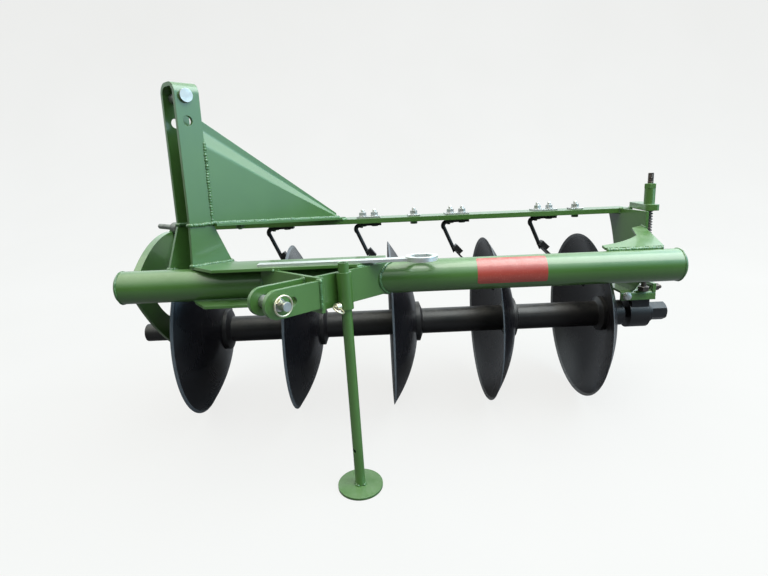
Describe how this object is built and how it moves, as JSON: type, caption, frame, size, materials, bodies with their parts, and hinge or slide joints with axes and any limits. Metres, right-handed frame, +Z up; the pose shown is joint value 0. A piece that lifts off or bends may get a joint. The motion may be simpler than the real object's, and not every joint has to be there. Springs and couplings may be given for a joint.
{
  "type": "disc plough",
  "caption": "Tractor-mounted disc plough: dished discs on one gang under a welded tube frame, with a three-point hitch mast, scrapers and a parking stand.",
  "frame": {"origin": "on the floor, under the centre of the plough's box as it stands parked", "axes": "+X along the gang axis towards the plough's right-hand end, +Y away from the hitch side, +Z up from the floor"},
  "size_m": [1.324, 0.6542, 0.7849],
  "materials": {
    "green_paint": "gloss",
    "disc_steel": "gloss",
    "black_paint": "satin",
    "zinc": "satin",
    "lynch_steel": "satin",
    "dark_steel": "satin"
  },
  "bodies": {
    "frame": {"bearing_hood": "green_paint", "bearing_left": "black_paint", "bearing_right": "black_paint", "clevis_ear_inner": "green_paint", "clevis_ear_outer": "green_paint", "corner_gusset": "green_paint", "gang_spanner": "zinc", "gusset_strip": "green_paint", "hitch_bracket": "green_paint", "hitch_plate": "green_paint", "hitch_under_plate": "green_paint", "left_link_pin": "zinc", "main_tube": "green_paint", "mast": "green_paint", "mast_foot_left": "green_paint", "mast_foot_right": "green_paint", "mast_gusset": "green_paint", "rear_beam": "green_paint", "right_link_pin": "zinc", "right_lynch_pin": "lynch_steel", "scraper_1": "black_paint", "scraper_2": "black_paint", "scraper_3": "black_paint", "scraper_4": "black_paint", "scraper_5": "black_paint", "scraper_clamp_pads": "green_paint", "scraper_clamp_plates": "zinc", "side_plate_left": "green_paint", "side_plate_right": "green_paint", "spring_seat": "dark_steel", "stand_lock_pin": "lynch_steel", "stand_sleeve": "green_paint", "tail_plate": "green_paint", "tail_rod": "dark_steel", "tail_spring": "dark_steel", "top_link_pin": "zinc", "tube_caps": "green_paint"},
    "gang": {"disc_1": "disc_steel", "disc_2": "disc_steel", "disc_3": "disc_steel", "disc_4": "disc_steel", "disc_5": "disc_steel", "gang_nut": "black_paint", "gang_shaft": "black_paint", "spool_1": "black_paint", "spool_2": "black_paint", "spool_3": "black_paint", "spool_4": "black_paint", "spool_left_end": "black_paint", "spool_right_end": "black_paint"},
    "stand": {"stand_leg": "green_paint", "stand_foot": "green_paint"}
  },
  "joints": [
    {"name": "gang_spin", "type": "hinge", "parent": "frame", "child": "gang", "pos_m": [-0.043, 0.12113, 0.206], "axis": [1, 0, 0], "continuous": true},
    {"name": "stand_slide", "type": "slide", "parent": "frame", "child": "stand", "axis": [-0.0227, 0.1045, 0.9943], "range_m": [0, 0.297]}
  ]
}
